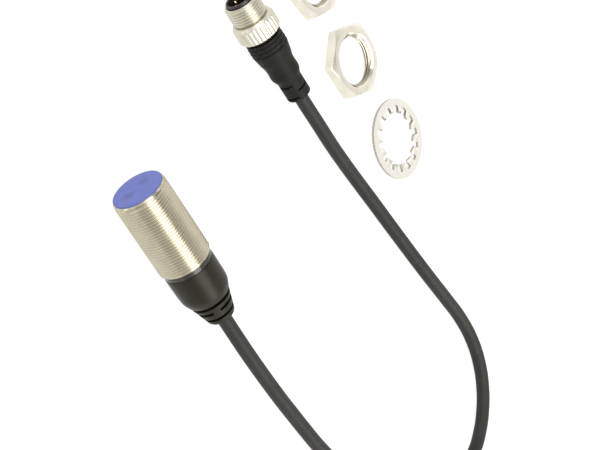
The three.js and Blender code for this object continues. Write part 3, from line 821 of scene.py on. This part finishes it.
def make_coupling_screw():
    columns, flutes = 300, 30
    sides = [
        (3.0, 5.6),
        (-1.1, 5.6),
        (-1.1, 5.8),
        (-0.65, 5.8),
        (-0.65, 6.95, 0.15),
        (-0.1, 7.42, 0.3),
        *[(0.1 + 0.36 * k, 7.42) for k in range(11)],
        (4.25, 7.42, 0.4),
        (5.0, 7.12, 0.3),
        (5.3, 6.8, 0.12),
        (5.86, 6.5, 0.2),
        (5.9, 5.45),
    ]
    x, r = turned_sheet(rounded(sides), columns)
    angle = TAU * np.arange(columns + 1)[None, :] / columns
    valley = np.abs(np.cos(angle * flutes / 2)) ** 4
    band = np.clip((x + 0.6) / 0.5, 0, 1) * np.clip((4.95 - x) / 0.6, 0, 1) * (r > 6.6)
    ring = (x, r - 0.30 * valley * band)
    thread = thread_sheet(12.9, 5.9, 6.0, 5.45, columns, leads=(0.45, 0.9))
    inside = turned_sheet([(12.9, 5.45), (12.9, 5.12), (5.5, 5.12), (5.5, 5.6), (3.0, 5.6)], columns)
    sheets = [ring, thread, inside]
    piece = turned_piece("coupling_screw_knurled", sheets, PLUG_NICKEL, PLUG_PLACE, sharp=50)
    return settle(piece, "plug_screw", "nickel_plug", "coupling_screw")


grip = make_grip()
carrier = make_carrier()
pins = make_pins()
screw = make_coupling_screw()
buffer = turned_piece("vibration_ring_rubber", [ring_sheet(0.3, 5.0, 0.3)], SEAL, PLUG_PLACE)
settle(buffer, "sensor", "seal_rubber", "vibration_ring")

# ---------------------------------------------------------------- loose hardware


def make_nut(node, body, x, y, turn):
    """A hexagon nut with a chamfer at both faces and a helical thread in its bore."""
    columns = 180
    angle = TAU * np.arange(columns + 1)[None, :] / columns
    corner = math.radians(30)
    flat = (angle + corner) % (2 * corner) - corner
    hexagon = NUT_FLATS / 2 / np.cos(flat)
    face_r, slope = NUT_FLATS / 2 - 0.25, 0.52
    lead, edge_r = 0.8, 9.72
    crest_r, root_r = 8.46, 9.0
    chamfer = np.clip((hexagon - face_r) * slope, 0.12, None)
    level = np.zeros_like(hexagon)
    rows = [
        (level, level + edge_r),
        (level, level + face_r - 0.25),
        (level, np.minimum(hexagon, 13.5) - 0.12),
        (level + 0.12, np.minimum(hexagon, 13.62)),
        (level + 0.35, hexagon),
        (NUT_THICK - chamfer - 0.08, hexagon),
        (NUT_THICK - chamfer, hexagon - 0.02),
        (level + NUT_THICK - 0.03, level + face_r - 0.05),
        (level + NUT_THICK, level + face_r - 0.25),
        (level + NUT_THICK, level + edge_r),
    ]
    outside = (np.concatenate([row[0] for row in rows]), np.concatenate([row[1] for row in rows]))
    slope_down = [(NUT_THICK, edge_r), (NUT_THICK - 0.04, edge_r - 0.06), (NUT_THICK - lead, root_r)]
    slope_up = [(lead, root_r), (0.04, edge_r - 0.06), (0, edge_r)]
    top = turned_sheet(slope_down, columns)
    bore = thread_sheet(NUT_THICK - lead, lead, crest_r, root_r, columns, leads=(0.4, 0.4), rows=12)
    bottom = turned_sheet(slope_up, columns)
    place = upright_at(x, y, FLOOR, math.radians(turn))
    piece = turned_piece(f"{node}_threaded", [outside, top, bore, bottom], NUT_NICKEL, place, sharp=24)
    settle(piece, body, "nickel_nut", node)


def make_washer():
    """A stamped ring with twisted inner teeth: a curved sheet that is thickened and has its edges eased."""
    sector = TAU / WASHER_TEETH
    half_tooth = TOOTH_WIDE / 2 / WASHER_ROOT_R
    neck_r = WASHER_ROOT_R + 0.5  # where the plain ring ends
    bend_r = WASHER_ROOT_R + 0.2  # where a tooth starts to twist
    flare = 1.05
    fillet = 0.5
    tip_starts = 0.9
    tip_drop = 0.25
    across = np.concatenate([
        np.linspace(-sector / 2, -half_tooth, 9)[:-1],
        np.linspace(-half_tooth, half_tooth, 11),
        np.linspace(half_tooth, sector / 2, 9)[1:-1],
    ])
    ring_rows = np.linspace(WASHER_R, neck_r, 9)
    tooth_rows = np.linspace(neck_r, WASHER_TIP_R, 14)[1:]
    gap_rows = 3
    points, faces, index = [], [], {}

    def point(tooth, column, row):
        column = column % len(across)
        key = (tooth % WASHER_TEETH, column, row)
        if key in index:
            return index[key]
        offset = across[column]
        on_tooth = abs(offset) <= half_tooth + 1e-9
        if row < len(ring_rows):
            radius = ring_rows[row]
        elif on_tooth:
            radius = tooth_rows[row - len(ring_rows)]
        else:
            gap = (abs(offset) - half_tooth) * WASHER_ROOT_R
            near = max(fillet - gap, 0)
            inner = WASHER_ROOT_R - fillet + math.sqrt(fillet**2 - near**2)
            radius = neck_r + (inner - neck_r) * (row - len(ring_rows) + 1) / gap_rows
        if on_tooth:
            share = min(max((bend_r - radius) / (bend_r - WASHER_TIP_R), 0), 1)
            turn = TOOTH_TWIST * share * share * (3 - 2 * share)
            if share > tip_starts:
                corner = abs(offset) / half_tooth
                radius += tip_drop * corner**6 * (share - tip_starts) / (1 - tip_starts)
            side = offset * radius * (1 + (flare - 1) * share)
            u = math.sqrt(radius**2 - (offset * radius) ** 2)
            v = side * math.cos(turn)
            w = side * math.sin(turn)
        else:
            u = radius * math.cos(offset)
            v = radius * math.sin(offset)
            w = 0.0
        c, s = math.cos(tooth * sector), math.sin(tooth * sector)
        index[key] = len(points)
        points.append((u * c - v * s, u * s + v * c, w))
        return index[key]

    columns = len(across)
    for tooth in range(WASHER_TEETH):
        for column in range(columns):
            following = (tooth, column + 1) if column + 1 < columns else (tooth + 1, 0)
            ends = [across[column], across[(column + 1) % columns]]
            both = all(abs(e) <= half_tooth + 1e-9 for e in ends)
            rows = len(ring_rows) - 1 + (len(tooth_rows) if both else gap_rows)
            for row in range(rows):
                faces.append([
                    point(tooth, column, row),
                    point(*following, row),
                    point(*following, row + 1),
                    point(tooth, column, row + 1),
                ])
    piece = make_piece("washer_stamped", points, faces, STEEL, Matrix.Translation(WASHER_AT * MM), sharp=40)
    thick = piece.modifiers.new("thickness", "SOLIDIFY")
    thick.thickness = WASHER_THICK * MM
    thick.offset = 0.0
    ease_edges(piece, 0.10)
    settle(piece, "washer", "washer_steel", "toothed_washer")


for nut in NUTS:
    make_nut(*nut)
make_washer()

# ---------------------------------------------------------------- inner pieces that keep their CAD shape

INNER = {
    "ferrite_core": moulded_plastic("ferrite", (0.035, 0.033, 0.036), (0.020, 0.020, 0.022), 0.55),
    "coil_bobbin": moulded_plastic(
        "bobbin_nylon", (0.72, 0.66, 0.52), (0.62, 0.56, 0.43), 0.45, edge=(0.8, 0.76, 0.66)
    ),
    "coil_winding": wound_copper(),
    "potting_plug": moulded_plastic("potting_resin", (0.012, 0.014, 0.016), (0.008, 0.009, 0.011), 0.25),
    "circuit_board": circuit_green(),
    "indicator_led": moulded_plastic(
        "led_epoxy", (0.75, 0.48, 0.08), (0.62, 0.38, 0.06), 0.18, edge=(0.85, 0.65, 0.3)
    ),
    "wire_brown": moulded_plastic(
        "wire_brown", (0.16, 0.055, 0.018), (0.12, 0.04, 0.013), 0.4, edge=(0.25, 0.12, 0.06)
    ),
    "wire_black": moulded_plastic("wire_black", (0.012, 0.012, 0.012), (0.008, 0.008, 0.008), 0.4),
    "wire_blue": moulded_plastic(
        "wire_blue", (0.022, 0.085, 0.38), (0.016, 0.06, 0.28), 0.4, edge=(0.1, 0.2, 0.5)
    ),
}
CHIP = moulded_plastic("chip_epoxy", (0.016, 0.016, 0.018), (0.010, 0.010, 0.011), 0.5)
CERAMIC = moulded_plastic(
    "fired_ceramic", (0.48, 0.34, 0.19), (0.38, 0.27, 0.15), 0.5, edge=(0.6, 0.5, 0.36)
)
CHIPS = ["oscillator_chip", "output_transistor", "voltage_regulator", "resistor_front", "resistor_rear"]
INNER.update({part: CHIP for part in CHIPS})
INNER.update({part: CERAMIC for part in ("capacitor_large", "capacitor_small")})

for part, material in INNER.items():
    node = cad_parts[part]
    node.data.materials.clear()
    node.data.materials.append(material)
    ease_edges(node, 0.06)

# ---------------------------------------------------------------- floor and light


def make_floor():
    size = 12.0
    points = [(-size, -size, 0), (size, -size, 0), (size, size, 0), (-size, size, 0)]
    mesh = bpy.data.meshes.new("floor")
    mesh.from_pydata([(x, y, FLOOR * MM) for x, y, _ in points], [], [(0, 1, 2, 3)])
    g = Graph("floor_paper")
    g.finish((0.15, 0.15, 0.15, 1.0), 0.9, Specular_IOR_Level=0.0)
    g.shader.inputs["Emission Color"].default_value = (1, 1, 1, 1)
    g.shader.inputs["Emission Strength"].default_value = 0.90
    mesh.materials.append(g.material)
    floor = bpy.data.objects.new("floor", mesh)
    bpy.context.scene.collection.objects.link(floor)


# Brightness of the studio round the X axis, from the +Y horizon (0) over the top (90) to the -Y horizon.
SURROUND = [
    (0, 0.74),
    (18, 0.80),
    (33, 0.95),
    (46, 1.15),
    (58, 1.15),
    (88, 0.94),
    (100, 1.10),
    (114, 1.18),
    (128, 0.90),
    (146, 1.20),
    (180, 1.16),
]
FULL = 1.2
# What the dim ceiling leaves of that on the +X side.
CEILING = [(0, 1.0), (70, 1.0), (92, 0.55), (112, 0.55), (130, 1.0), (180, 1.0)]
PANEL = [(0, 0.0), (46, 0.0), (58, 1.0), (83, 1.0), (90, 0.0), (180, 0.0)]
PANEL_STRENGTH = 4.6


def make_sky():
    """A soft studio: a pale surround, a dim ceiling and one long bright panel over the table."""
    world = bpy.data.worlds.new("studio")
    bpy.context.scene.world = world
    world.use_nodes = True
    tree = world.node_tree
    background = tree.nodes["Background"]
    apart = tree.nodes.new("ShaderNodeSeparateXYZ")
    tree.links.new(tree.nodes.new("ShaderNodeTexCoord").outputs["Generated"], apart.inputs[0])

    def math_node(operation, a, b):
        made = tree.nodes.new("ShaderNodeMath")
        made.operation = operation
        for socket, value in zip(made.inputs, (a, b)):
            if hasattr(value, "links"):
                tree.links.new(value, socket)
            else:
                socket.default_value = value
        return made.outputs[0]

    def profile(stops, around, full):
        made = tree.nodes.new("ShaderNodeValToRGB")
        elements = made.color_ramp.elements
        while len(elements) < len(stops):
            elements.new(0.5)
        for element, (degrees, _) in zip(elements, stops):
            element.position = degrees / 180
        for element, (_, level) in zip(elements, stops):
            element.color = (level / full, level / full, level / full, 1)
        tree.links.new(around, made.inputs[0])
        return made.outputs["Color"]

    def window(value, low, high):
        made = tree.nodes.new("ShaderNodeMapRange")
        made.interpolation_type = "SMOOTHSTEP"
        made.inputs["From Min"].default_value = low
        made.inputs["From Max"].default_value = high
        tree.links.new(value, made.inputs["Value"])
        return made.outputs["Result"]

    around = math_node("DIVIDE", math_node("ARCTAN2", apart.outputs["Z"], apart.outputs["Y"]), math.pi)
    surround = math_node("MULTIPLY", profile(SURROUND, around, FULL), FULL)
    along = apart.outputs["X"]
    taken = math_node("SUBTRACT", 1.0, profile(CEILING, around, 1.0))
    ceiling = math_node("SUBTRACT", 1.0, math_node("MULTIPLY", taken, window(along, -0.35, -0.1)))
    surround = math_node("MULTIPLY", surround, ceiling)
    reach = math_node("MULTIPLY", window(along, -0.95, -0.85), window(along, 0.99, 0.95))
    fall = math_node("SUBTRACT", 1.0, math_node("MULTIPLY", window(along, -0.3, 0.1), 0.45))
    reach = math_node("MULTIPLY", reach, fall)
    panel = math_node("MULTIPLY", profile(PANEL, around, 1.0), math_node("MULTIPLY", reach, PANEL_STRENGTH))
    tree.links.new(math_node("ADD", surround, panel), background.inputs["Strength"])
    background.inputs["Color"].default_value = (1, 1, 1, 1)


make_floor()
make_sky()
bpy.context.scene.view_settings.view_transform = "Standard"

# ---------------------------------------------------------------- final update

bpy.context.view_layer.update()
